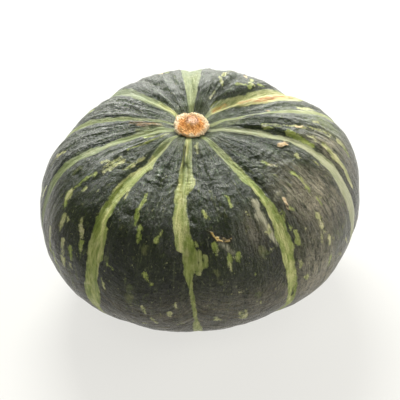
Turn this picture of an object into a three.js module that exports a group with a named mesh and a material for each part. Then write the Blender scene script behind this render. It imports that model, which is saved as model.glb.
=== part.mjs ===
// A kabocha squash as picked: one flattened, ten-lobed fruit, and the corky stub of its stem.
// Millimetres, +Z up. The fruit stands on z = 0 under the middle of its box, with its front towards -Y.

import * as THREE from "three";

// The fruit's meridian: where the stem's axis stands, how high the widest ring is, and how the shell
// rounds over it to the crown and under it to the foot, which is flattened where it meets z = 0.
const STEM_AXIS = { x: -6.1, y: 2.5 };
const WIDEST_RING_HEIGHT = 62.8;
const BELLY_DEPTH = 67;
const CROWN_ROUNDING = 2.04;
const BELLY_ROUNDING = 2.2;

// The hollow the stem stands in, with a level seat under the stub. Its slope ends just under the
// widest ring. The blossom end has a hollow of its own, with a small round scar in its middle.
const STEM_DIMPLE = { depth: 18, width: 62 };
const STEM_SEAT = { depth: 2.2, inner: 9.2, outer: 19 };
const DIMPLE_END = { from: 1.57, to: 1.8 };
const BLOSSOM_DIMPLE = { depth: 7, width: 20 };
const BLOSSOM_SCAR = { height: 1.6, width: 5 };

// The ten sutures between the lobes, in order round the fruit. The azimuth is in degrees from the
// front towards +X. It drifts by so many degrees for each radian down from the stem, with its own
// drift below the shoulder. furrow is the suture's depth on the crown, and under its depth below.
const SUTURES = [
  { azimuth: -2, drift: 5, below: 5, furrow: 4, under: 1 },
  { azimuth: 35, drift: 3, below: 3, furrow: 2, under: 1 },
  { azimuth: 75, drift: 0, below: 0, furrow: 2, under: 2 },
  { azimuth: 113, drift: 14, below: -8, furrow: 1, under: 1 },
  { azimuth: 129, drift: -11, below: 10, furrow: 4.5, under: 3 },
  { azimuth: 181, drift: 0, below: 0, furrow: 2, under: 1.5 },
  { azimuth: 221, drift: 6, below: 6, furrow: 2, under: 1.5 },
  { azimuth: 255, drift: -1, below: -1, furrow: 1.5, under: 1.2 },
  { azimuth: 290, drift: 4, below: 2, furrow: 1.5, under: 1.2 },
  { azimuth: 324, drift: 2, below: 2, furrow: 3.5, under: 0.3 },
];
const SHOULDER = { polar: 1.25, blend: 0.3 };
const UNDER = { from: 1.4, to: 1.95 };

// The lobe after each suture: how far it reaches from the stem's axis, and how high it would stand
// over the widest ring if the crown had no dimple.
const LOBES = [
  { reach: 90, crown: 55 },
  { reach: 94, crown: 60 },
  { reach: 94, crown: 64.5 },
  { reach: 96, crown: 55.5 },
  { reach: 85.5, crown: 67.5 },
  { reach: 86.5, crown: 60.5 },
  { reach: 79, crown: 58 },
  { reach: 81.5, crown: 58.5 },
  { reach: 90.5, crown: 58 },
  { reach: 92, crown: 55 },
];
const LOBE_FULLNESS = 0.75;

// Underneath, the lobes even out.
const EVENING = { from: 1.8, to: 2.9, share: 0.7 };

// Low ridges that run down each lobe from the stem, and the slow unevenness of a grown shell.
const RIDGE = { height: 0.6, perLobe: 3 };
const LUMP = { height: 0.7, round: 7, down: 6 };

// Rows of points crowd towards the stem and the foot by this share.
const FRUIT_MESH = { columnsPerLobe: 10, rows: 44, crowding: 0.5 };

// The stub: a corky button with a knobbly rim, a sunk ring, and a torn core that stands off centre.
// It sits a little forward of the axis, and its front is broken away, so its face slopes down there.
const STUB_GAP = 0.3;
const STUB_FORWARD = 0.8;
const STUB_COLUMNS = 56;
const STUB_CORE = { reach: 6.5, x: 1, y: 1.8 };
const STUB_BREAK = { share: 0.5, inner: 4, outer: 9 };
const STUB_TEAR = { height: 0.4, above: 2.4, inner: 0.5, outer: 3 };

// The stub's outline from the middle of its underside to the middle of its top: radius, then height.
const STUB_OUTLINE = [
  [0, 0],
  [4.2, 0],
  [8, 0],
  [9.4, 1],
  [10.1, 1.7],
  [10.2, 2.6],
  [9.6, 3.5],
  [8.6, 3.7],
  [7.5, 3.3],
  [6.3, 2.7],
  [5, 2.8],
  [4, 3.9],
  [2.8, 4.8],
  [1.4, 5],
  [0, 4.6],
];

const average = (values) => values.reduce((sum, value) => sum + value, 0) / values.length;

const MEAN_REACH = average(LOBES.map((lobe) => lobe.reach));
const MEAN_CROWN = average(LOBES.map((lobe) => lobe.crown));

function smoothStep(low, high, value) {
  const t = Math.min(1, Math.max(0, (value - low) / (high - low)));
  return t * t * (3 - 2 * t);
}

const bell = (distance, width) => Math.exp(-((distance / width) ** 2));

const radians = (degrees) => (degrees * Math.PI) / 180;

// A smooth closed curve through one value for each lobe, read at a place counted in lobes.
function aroundLobes(key, place) {
  const first = Math.floor(place);
  const t = place - first;
  const [a, b, c, d] = [-1, 0, 1, 2].map((step) => LOBES.at((first + step) % LOBES.length)[key]);
  return b + 0.5 * t * (c - a + t * (2 * a - 5 * b + 4 * c - d + t * (3 * (b - c) + d - a)));
}

// A suture's azimuth at a polar angle, in radians. The drift counts from one radian under the stem.
function sutureAzimuth(index, polar) {
  const turns = Math.floor(index / SUTURES.length);
  const suture = SUTURES[index % SUTURES.length];
  const over = polar - SHOULDER.polar;
  const past = 0.5 * (over + Math.hypot(over, SHOULDER.blend));
  const drifted = suture.drift * (polar - past - 1) + suture.below * past;
  return radians(suture.azimuth + 360 * turns + drifted);
}

function furrowDepth(index, polar) {
  const suture = SUTURES[index % SUTURES.length];
  return suture.furrow + (suture.under - suture.furrow) * smoothStep(UNDER.from, UNDER.to, polar);
}

// A point of the fruit's skin. lobe is the lobe's number, across runs from 0 at its first suture to 1
// at its second, and polar from 0 at the stem to PI at the blossom end.
function skinPoint(lobe, across, polar) {
  const start = sutureAzimuth(lobe, polar);
  const azimuth = start + across * (sutureAzimuth(lobe + 1, polar) - start);

  // The rounded meridian, as shares of the reach and of the height.
  const onCrown = polar <= Math.PI / 2;
  const rounding = onCrown ? CROWN_ROUNDING : BELLY_ROUNDING;
  const sine = Math.max(Math.sin(polar), 0);
  const cosine = Math.abs(Math.cos(polar));
  const norm = (sine ** rounding + cosine ** rounding) ** (1 / rounding);
  const outward = sine / norm;
  const upright = cosine / norm;

  // What the lobes, furrows, ridges and unevenness do to it here.
  const kept = 1 - EVENING.share * smoothStep(EVENING.from, EVENING.to, polar);
  const furrow = furrowDepth(lobe, polar) * (1 - across) + furrowDepth(lobe + 1, polar) * across;
  const hollow = furrow * (1 - Math.sin(Math.PI * across) ** LOBE_FULLNESS);
  const spread = smoothStep(0.06, 0.42, outward);
  const ridge = RIDGE.height * Math.cos(2 * Math.PI * RIDGE.perLobe * across) * spread * upright;
  const lump = LUMP.height * Math.sin(LUMP.round * azimuth + 1) * Math.sin(LUMP.down * polar) * outward;

  const place = lobe + across - 0.5;
  const reach = MEAN_REACH + (aroundLobes("reach", place) - MEAN_REACH) * kept;
  const radius = (reach - hollow + lump) * outward;

  const dimple = STEM_DIMPLE.depth * bell(radius, STEM_DIMPLE.width);

  let height;
  if (onCrown) {
    const crown = MEAN_CROWN + (aroundLobes("crown", place) - MEAN_CROWN - hollow + lump) * spread;
    const dome = crown * upright - dimple - ridge;
    const seat = MEAN_CROWN - STEM_DIMPLE.depth - STEM_SEAT.depth;
    height = seat + (dome - seat) * smoothStep(STEM_SEAT.inner, STEM_SEAT.outer, radius);
  } else {
    height = BLOSSOM_DIMPLE.depth * bell(radius, BLOSSOM_DIMPLE.width) - BELLY_DEPTH * upright;
    height += hollow * upright * smoothStep(0.35, 0.65, outward);
    height -= BLOSSOM_SCAR.height * bell(radius, BLOSSOM_SCAR.width);
    height -= dimple * (1 - smoothStep(DIMPLE_END.from, DIMPLE_END.to, polar));
  }
  return new THREE.Vector3(
    STEM_AXIS.x + radius * Math.sin(azimuth),
    STEM_AXIS.y - radius * Math.cos(azimuth),
    Math.max(WIDEST_RING_HEIGHT + height, 0),
  );
}

// A closed skin over rings of points, with a single point at each end.
function closedSkin(firstEnd, rings, lastEnd) {
  const points = [firstEnd, ...rings.flat(), lastEnd];
  const count = rings[0].length;
  const last = points.length - 1;
  const at = (ring, column) => 1 + ring * count + (column % count);
  const triangles = [];
  for (let column = 0; column < count; column += 1) {
    triangles.push(0, at(0, column), at(0, column + 1));
    for (let ring = 0; ring < rings.length - 1; ring += 1) {
      const [a, b] = [at(ring, column), at(ring + 1, column)];
      const [c, d] = [at(ring, column + 1), at(ring + 1, column + 1)];
      triangles.push(a, b, d);
      triangles.push(a, d, c);
    }
    triangles.push(last, at(rings.length - 1, column + 1), at(rings.length - 1, column));
  }
  const geometry = new THREE.BufferGeometry().setFromPoints(points);
  geometry.setIndex(triangles);
  geometry.computeVertexNormals();
  return geometry;
}

function fruitGeometry() {
  const { columnsPerLobe, rows, crowding } = FRUIT_MESH;
  const rings = [];
  for (let row = 1; row < rows; row += 1) {
    const t = row / rows;
    const polar = Math.PI * t - 0.5 * crowding * Math.sin(2 * Math.PI * t);
    const ring = [];
    for (let lobe = 0; lobe < LOBES.length; lobe += 1) {
      for (let column = 0; column < columnsPerLobe; column += 1) {
        ring.push(skinPoint(lobe, column / columnsPerLobe, polar));
      }
    }
    rings.push(ring);
  }
  return closedSkin(skinPoint(0, 0, 0), rings, skinPoint(0, 0, Math.PI));
}

// Shallow knobs round the stub's rim, where the ribs of the stem ran into the fruit.
function stubKnobs(azimuth) {
  const broad = 0.03 * Math.sin(2 * azimuth + 0.6) + 0.03 * Math.sin(5 * azimuth + 1.1);
  return 1 + broad + 0.02 * Math.sin(11 * azimuth);
}

function stubPoint([outlineRadius, height], azimuth) {
  const seat = skinPoint(0, 0, 0);
  const radius = outlineRadius * stubKnobs(azimuth);
  const onTop = height > STUB_TEAR.above;
  const offCentre = onTop ? 1 - smoothStep(0, STUB_CORE.reach, radius) : 0;
  const torn = onTop ? smoothStep(STUB_TEAR.inner, STUB_TEAR.outer, radius) : 0;
  const tear = STUB_TEAR.height * Math.sin(6 * azimuth + radius) * torn;
  const front = smoothStep(-0.1, 0.9, Math.cos(azimuth));
  const broken = STUB_BREAK.share * front * smoothStep(STUB_BREAK.inner, STUB_BREAK.outer, radius);
  return new THREE.Vector3(
    seat.x + radius * Math.sin(azimuth) + STUB_CORE.x * offCentre,
    seat.y - STUB_FORWARD - radius * Math.cos(azimuth) + STUB_CORE.y * offCentre,
    seat.z + STUB_GAP + (height + tear) * (1 - broken),
  );
}

function stubGeometry() {
  const rings = STUB_OUTLINE.slice(1, -1).map((step) => {
    const ring = [];
    for (let column = 0; column < STUB_COLUMNS; column += 1) {
      ring.push(stubPoint(step, (2 * Math.PI * column) / STUB_COLUMNS));
    }
    return ring;
  });
  const underside = stubPoint(STUB_OUTLINE[0], 0);
  const tip = stubPoint(STUB_OUTLINE.at(-1), 0);
  return closedSkin(tip, rings.reverse(), underside);
}

function namedMesh(name, geometry, finish) {
  const mesh = new THREE.Mesh(geometry, new THREE.MeshStandardMaterial(finish));
  mesh.name = name;
  return mesh;
}

const squash = new THREE.Group();
squash.add(
  namedMesh("fruit", fruitGeometry(), { color: 0x3a4534, roughness: 0.5, metalness: 0 }),
  namedMesh("stem_stub", stubGeometry(), { color: 0xd2a36b, roughness: 0.85, metalness: 0 }),
);

export default squash;
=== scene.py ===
import math

import bpy
import numpy as np
from mathutils import Matrix, Vector, noise


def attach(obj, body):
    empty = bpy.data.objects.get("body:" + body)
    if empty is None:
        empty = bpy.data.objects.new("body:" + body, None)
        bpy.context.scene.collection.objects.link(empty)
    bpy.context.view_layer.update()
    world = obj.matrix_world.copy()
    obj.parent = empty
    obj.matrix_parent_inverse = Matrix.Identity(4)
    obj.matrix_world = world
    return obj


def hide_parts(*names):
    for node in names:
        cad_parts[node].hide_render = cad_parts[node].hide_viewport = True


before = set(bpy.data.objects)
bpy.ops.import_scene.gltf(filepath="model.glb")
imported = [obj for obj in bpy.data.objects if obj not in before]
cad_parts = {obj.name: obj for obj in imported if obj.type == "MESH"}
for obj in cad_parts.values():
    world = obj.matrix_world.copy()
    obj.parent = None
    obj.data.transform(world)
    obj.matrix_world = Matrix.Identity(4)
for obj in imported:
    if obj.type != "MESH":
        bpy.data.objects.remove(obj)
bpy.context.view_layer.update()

# The fruit: a flattened kabocha, which grew as one body of rind and flesh in ten lobes round the
# stem's axis. Each suture between two lobes is a shallow furrow, and the whole skin is drawn into
# the hollow at the stem. This is a finer skin over the plain solid's shape, in millimetres.
STEM_AXIS = (-6.1, 2.5)
WIDEST_RING_HEIGHT = 62.8
BELLY_DEPTH = 67
CROWN_ROUNDING, BELLY_ROUNDING = 2.04, 2.2
STEM_DIMPLE_DEPTH, STEM_DIMPLE_WIDTH = 18, 62
SEAT_DEPTH, SEAT_INNER, SEAT_OUTER = 2.2, 9.2, 19
BLOSSOM_DEPTH, BLOSSOM_WIDTH = 7, 20
SCAR_HEIGHT, SCAR_WIDTH = 1.6, 5
LOBE_FULLNESS = 0.75
SHOULDER, SHOULDER_BLEND = 1.25, 0.3
RIDGE_HEIGHT, RIDGES_PER_LOBE = 0.6, 3
LUMP_HEIGHT, LUMPS_ROUND, LUMPS_DOWN = 0.7, 7, 6
EVENING_FROM, EVENING_TO, EVENING_SHARE = 1.8, 2.9, 0.7
UNDER_FROM, UNDER_TO = 1.4, 1.95
DIMPLE_END_FROM, DIMPLE_END_TO = 1.57, 1.8
MM = 0.001

# Front, then round to the right: where each suture runs, its drift on the way down, and its depth,
# then how far each lobe reaches and how high it stands. These, the size of the stem's hollow and
# the crown's rounding were fitted by a separate program to the fruit's outline and sutures in the
# photo. They were then rounded, and a few were changed. Most of the depths underneath were chosen.
AZIMUTH = np.array([-2, 35, 75, 113, 129, 181, 221, 255, 290, 324], float)
DRIFT = np.array([5, 3, 0, 14, -11, 0, 6, -1, 4, 2], float)
DRIFT_BELOW = np.array([5, 3, 0, -8, 10, 0, 6, -1, 2, 2], float)
FURROW = np.array([4, 2, 2, 1, 4.5, 2, 2, 1.5, 1.5, 3.5])
FURROW_UNDER = np.array([1, 1, 2, 1, 3, 1.5, 1.5, 1.2, 1.2, 0.3])
REACH = np.array([90, 94, 94, 96, 85.5, 86.5, 79, 81.5, 90.5, 92])
CROWN = np.array([55, 60, 64.5, 55.5, 67.5, 60.5, 58, 58.5, 58, 55])
LOBES = len(AZIMUTH)


def smooth_step(low, high, value):
    t = np.clip((value - low) / (high - low), 0, 1)
    return t * t * (3 - 2 * t)


def bell(distance, width):
    return np.exp(-((distance / width) ** 2))


def around_lobes(values, place):
    first = np.floor(place).astype(int)
    t = place - first
    a, b, c, d = (values[(first + step) % LOBES] for step in (-1, 0, 1, 2))
    return b + 0.5 * t * (c - a + t * (2 * a - 5 * b + 4 * c - d + t * (3 * (b - c) + d - a)))


def suture_azimuth(index, polar):
    turns, suture = index // LOBES, index % LOBES
    over = polar - SHOULDER
    past = 0.5 * (over + np.hypot(over, SHOULDER_BLEND))
    drifted = DRIFT[suture] * (polar - past - 1) + DRIFT_BELOW[suture] * past
    return np.radians(AZIMUTH[suture] + 360 * turns + drifted)


def furrow_depth(index, polar):
    suture = index % LOBES
    under = smooth_step(UNDER_FROM, UNDER_TO, polar)
    return FURROW[suture] + (FURROW_UNDER[suture] - FURROW[suture]) * under


def skin(place, polar):
    """Points of the smooth skin in millimetres, and how wide the lobe is there.
    place counts lobes round the fruit from the front suture, and polar runs down from the stem."""
    place = np.asarray(place, float) % LOBES
    lobe = np.floor(place).astype(int)
    across = place - lobe
    start = suture_azimuth(lobe, polar)
    span = suture_azimuth(lobe + 1, polar) - start
    azimuth = start + across * span

    on_crown = polar <= math.pi / 2
    rounding = np.where(on_crown, CROWN_ROUNDING, BELLY_ROUNDING)
    sine, cosine = np.maximum(np.sin(polar), 0), np.abs(np.cos(polar))
    norm = (sine**rounding + cosine**rounding) ** (1 / rounding)
    outward, upright = sine / norm, cosine / norm

    kept = 1 - EVENING_SHARE * smooth_step(EVENING_FROM, EVENING_TO, polar)
    furrow = furrow_depth(lobe, polar) * (1 - across) + furrow_depth(lobe + 1, polar) * across
    hollow = furrow * (1 - np.clip(np.sin(np.pi * across), 0, 1) ** LOBE_FULLNESS)
    spread = smooth_step(0.06, 0.42, outward)
    ridge = RIDGE_HEIGHT * np.cos(2 * RIDGES_PER_LOBE * np.pi * across) * spread * upright
    lump = LUMP_HEIGHT * np.sin(LUMPS_ROUND * azimuth + 1) * np.sin(LUMPS_DOWN * polar) * outward

    mean_reach, mean_crown = REACH.mean(), CROWN.mean()
    reach = mean_reach + (around_lobes(REACH, place - 0.5) - mean_reach) * kept
    radius = (reach - hollow + lump) * outward
    crown = mean_crown + (around_lobes(CROWN, place - 0.5) - mean_crown - hollow + lump) * spread
    dimple = STEM_DIMPLE_DEPTH * bell(radius, STEM_DIMPLE_WIDTH)
    dome = crown * upright - dimple - ridge
    seat = mean_crown - STEM_DIMPLE_DEPTH - SEAT_DEPTH
    above = seat + (dome - seat) * smooth_step(SEAT_INNER, SEAT_OUTER, radius)
    below = BLOSSOM_DEPTH * bell(radius, BLOSSOM_WIDTH) - BELLY_DEPTH * upright
    below += hollow * upright * smooth_step(0.35, 0.65, outward)
    below -= SCAR_HEIGHT * bell(radius, SCAR_WIDTH)
    below -= dimple * (1 - smooth_step(DIMPLE_END_FROM, DIMPLE_END_TO, polar))
    height = WIDEST_RING_HEIGHT + np.where(on_crown, above, below)
    x = STEM_AXIS[0] + radius * np.sin(azimuth)
    y = STEM_AXIS[1] - radius * np.cos(azimuth)
    return np.stack([x, y, height], -1), np.maximum(radius * span, 1)


# The skin's rows of points crowd over the shoulder, where the rind is most wrinkled, and at the
# blossom end.
COLUMNS = 480
ROWS = 198
CROWDING = 1.5
spacing = np.linspace(0, 180, 2000)
crowding = 1 + CROWDING * bell(spacing - 30, 22) + CROWDING * bell(spacing - 180, 12)
turned = np.concatenate([[0], np.cumsum(0.5 * (crowding[1:] + crowding[:-1]))])
row_polar = np.radians(np.interp(np.linspace(0, turned[-1], ROWS + 1), turned, spacing))[1:-1]
column_place = np.arange(COLUMNS) * LOBES / COLUMNS
PLACE, POLAR = np.meshgrid(column_place, row_polar)
DOWN = np.degrees(POLAR)
smooth_points, lobe_width = skin(PLACE, POLAR)


def grid_normals(points):
    round_step = np.roll(points, -1, axis=1) - np.roll(points, 1, axis=1)
    down_step = np.gradient(points, axis=0)
    normals = np.cross(down_step, round_step)
    return normals / np.maximum(np.linalg.norm(normals, axis=-1, keepdims=True), 1e-9)


# The pale bands follow the sutures. Each row says how far down from the stem, in degrees, and how
# much of a lobe's width the band covers on the suture's left and right there. They were read by eye
# off the photo, most of them after a separate program had unwrapped it, and some were then changed.
UNDERSIDE = ((150, 0.08, 0.08), (166, 0.2, 0.2), (180, 0.3, 0.3))
BANDS = (
    (
        (7, 0.2, 0.2), (12, 0.16, 0.2), (15, 0.09, 0.18), (20, 0.11, 0.16), (25, 0.12, 0.16),
        (28, 0.11, 0.17), (28.8, 0.1, 0.21), (32, 0.1, 0.2), (35, 0.12, 0.13), (37, 0.125, 0.04),
        (45, 0.115, 0.03), (50, 0.135, 0.05), (60, 0.11, 0.06), (61.5, 0.105, 0.09),
        (66, 0.1, 0.09), (67, 0.04, 0.095), (71, 0.04, 0.1), (75, 0.04, 0.1), (76.5, 0.045, 0.07),
        (79, 0.045, 0.035), (84, 0.035, 0.025), (88, 0.02, 0.02), (112, 0.02, 0.015),
        (116, 0.04, 0.03), (121, 0.05, 0.05), (135, 0.05, 0.05),
    ),
    (
        (7, 0.16, 0.12), (12, 0.08, 0.1), (20, 0.02, 0.08), (25, 0.05, 0.06), (30, 0.055, 0.06),
        (35, 0.075, 0.04), (40, 0.05, 0.04), (50, 0.06, 0.045), (60, 0.065, 0.06),
        (66, 0.085, 0.045), (69, 0.085, 0.05), (74, 0.09, 0.05), (76, 0.09, 0.045),
        (80, 0.09, 0.025), (90, 0.08, 0.025), (100, 0.07, 0.035), (107, 0.06, 0.04),
        (112, 0.03, 0.05), (118, 0.02, 0.04), (130, 0.03, 0.03),
    ),
    (
        (7, 0.22, 0.12), (12, 0.24, 0.06), (20, 0.22, 0.04), (28, 0.16, 0.02), (32, 0.1, 0.03),
        (36, 0.06, 0.04), (45, 0.1, 0.03), (55, 0.13, 0.02), (60, 0.16, 0.01), (66, 0.2, -0.01),
        (72, 0.22, -0.03), (84, 0.22, -0.05), (95, 0.2, -0.05), (110, 0.12, -0.02),
        (125, 0.04, 0.02),
    ),
    (
        (7, 0.3, 0.2), (12, 0.14, 0.2), (17, 0.08, 0.2), (20, 0.04, 0.16), (28, 0.03, 0.16),
        (33, 0, 0.14), (42, 0, 0.14), (50, 0.01, 0.17), (60, 0.05, 0.12), (80, 0.08, 0.06),
        (110, 0.05, 0.05),
    ),
    (
        (7, 0.1, 0.12), (12, 0.15, 0.12), (18, 0.2, 0.12), (24, 0.28, 0.07), (30, 0.34, 0.05),
        (40, 0.45, 0.07), (48, 0.4, 0.08), (60, 0.2, 0.08), (80, 0.1, 0.06), (120, 0.04, 0.04),
    ),
    (
        (7, 0.15, 0.15), (12, 0.14, 0.14), (25, 0.16, 0.15), (40, 0.14, 0.14), (60, 0.1, 0.1),
        (90, 0.06, 0.06), (120, 0.03, 0.03),
    ),
    (
        (7, 0.1, 0.2), (12, 0.08, 0.23), (20, 0.07, 0.23), (30, 0.03, 0.23), (36, 0.05, 0.2),
        (44, 0.1, 0.15), (60, 0.12, 0.1), (80, 0.09, 0.08), (110, 0.04, 0.04),
    ),
    (
        (7, 0.12, 0.1), (15, 0.09, 0.06), (25, 0.08, 0.04), (40, 0.08, 0.02), (48, 0.1, 0.02),
        (60, 0.1, 0.03), (80, 0.06, 0.05), (110, 0.05, 0.04),
    ),
    (
        (7, 0.25, 0.3), (11, 0.35, 0.3), (15, 0.2, 0.25), (20, 0.12, 0.15), (25, 0.05, 0.17),
        (30, 0.02, 0.21), (35, 0, 0.2), (40, 0.04, 0.2), (45, 0.055, 0.125), (50, 0.075, 0.095),
        (60, 0.09, 0.055), (68, 0.1, 0.04), (75, 0.1, 0.03), (85, 0.08, 0.02), (100, 0.05, 0.02),
        (125, 0.03, 0.03),
    ),
    (
        (7, 0.15, 0.08), (10, 0.16, 0.05), (14, 0.15, 0.13), (18, 0.09, 0.15), (22, 0.04, 0.16),
        (25, 0.02, 0.24), (27, 0.01, 0.27), (30, 0.02, 0.21), (36, 0.045, 0.2), (40, 0.06, 0.165),
        (43, 0.065, 0.12), (50, 0.06, 0.1), (60, 0.055, 0.09), (61.5, 0.05, 0.09),
        (62.5, 0.045, 0.13), (70, 0.045, 0.14), (80, 0.045, 0.145), (82, 0.035, 0.11),
        (88, 0.04, 0.1), (95, 0.06, 0.09), (100, 0.085, 0.1), (106, 0.1, 0.085), (110, 0.11, 0.05),
        (114, 0.1, 0.02), (120, 0.06, 0), (130, 0.04, 0.02),
    ),
)
# How creamy each band is, from lime green at 0 to cream at 1.
BAND_CREAM = np.array([0.5, 0.2, 1, 0.5, 0.9, 0.1, 0.1, 0.2, 0.2, 0.3])

# How far each is darkened to a greyish green away from the stem, a painted shade on the bands at the back.
BAND_SHADE = np.array([0, 0, 0.35, 0.5, 0, 0.9, 1, 0.7, 0.8, 0])

band_margin = np.full(PLACE.shape, -99.0)
band_cream = np.zeros(PLACE.shape)
band_shade = np.zeros(PLACE.shape)
for suture, rows in enumerate(BANDS):
    downs, lefts, rights = np.array(rows + UNDERSIDE, float).T
    beside = (PLACE - suture + LOBES / 2) % LOBES - LOBES / 2
    left = np.interp(DOWN, downs, lefts)
    right = np.interp(DOWN, downs, rights)
    margin = np.where(np.abs(beside) < 1, np.minimum(beside + left, right - beside) * lobe_width, -99)
    band_cream = np.where(margin > band_margin, BAND_CREAM[suture], band_cream)
    band_shade = np.where(margin > band_margin, BAND_SHADE[suture], band_shade)
    band_margin = np.maximum(band_margin, margin)

# Marks on the rind, each a streak that tapers from one spot to another: place and degrees down at
# its broad end, the same at its thin end, and its width in millimetres. Most were read by eye off
# the photo, and their pixels were turned into places on the skin beforehand, by a separate program.
# Here are the lime green marks, then the cream ones, then the dim green ones.
LIME_MARKS = (
    (9.5, 57, 9.51, 64, 2.1), (9.44, 52.5, 9.44, 56, 1.7), (9.58, 80, 9.6, 82.5, 2.7),
    (9.6, 82.5, 9.64, 85.5, 1.5), (9.69, 62, 9.75, 57, 1.1), (9.2, 80.5, 9.26, 82, 1.5),
    (0.28, 63.5, 0.28, 68, 2.6), (0.4, 70, 0.39, 74.5, 2.2), (0.49, 70, 0.47, 74, 1.8),
    (1.41, 91, 1.41, 97, 1.1), (0.62, 83, 0.63, 83.5, 1), (1.09, 64.5, 1.07, 66.5, 1.5),
    (1.08, 56.5, 1.05, 62, 1.8), (2.1, 34.5, 2.08, 38, 3.3), (2.07, 38, 2.06, 45, 3.7),
    (1.35, 32, 1.38, 35, 1.2), (1.47, 44, 1.49, 48.5, 1.3), (1.48, 52.5, 1.46, 56.5, 2.1),
    (1.48, 59.5, 1.48, 63, 1.6), (1.17, 56.5, 1.19, 58, 1.8), (0.57, 41, 0.58, 42.5, 1.7),
    (0.58, 42.5, 0.57, 46.5, 1.3), (0.24, 47, 0.29, 50.5, 1.1), (2.4, 61.5, 2.37, 66.5, 2.1),
    (2.59, 48, 2.6, 51, 0.9), (9.45, 41, 9.46, 44, 1.5), (9.46, 44, 9.42, 49, 2.1),
    (9.42, 49, 9.42, 53, 1.8), (8.57, 44, 8.52, 48, 1.3), (8.52, 48, 8.5, 50.5, 1.7),
    (8.5, 51, 8.47, 57.5, 0.7), (8.45, 58.5, 8.52, 65.5, 2.4),
    (8.58, 67.5, 8.58, 70, 1.6), (8.18, 16.5, 8.07, 11.5, 2.1), (8.24, 18, 8.25, 14.5, 1.7),
    (8.56, 19.5, 8.54, 13.5, 0.9), (8.53, 27, 8.55, 20.5, 0.7), (0.25, 48, 0.26, 49.5, 1.3),
    (8.88, 75, 8.885, 81, 1.5), (4.12, 35, 4.25, 42, 2.4), (2.18, 24, 2.33, 39, 0.9),
    (2.1, 25.5, 2.2, 31, 1.3), (4.16, 12, 4.15, 16, 0.9), (4.22, 29.5, 4.15, 35, 1.3),
    (3.18, 11.5, 3.06, 19, 1.4), (4.14, 41, 4.11, 43, 1.8),
)
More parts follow.
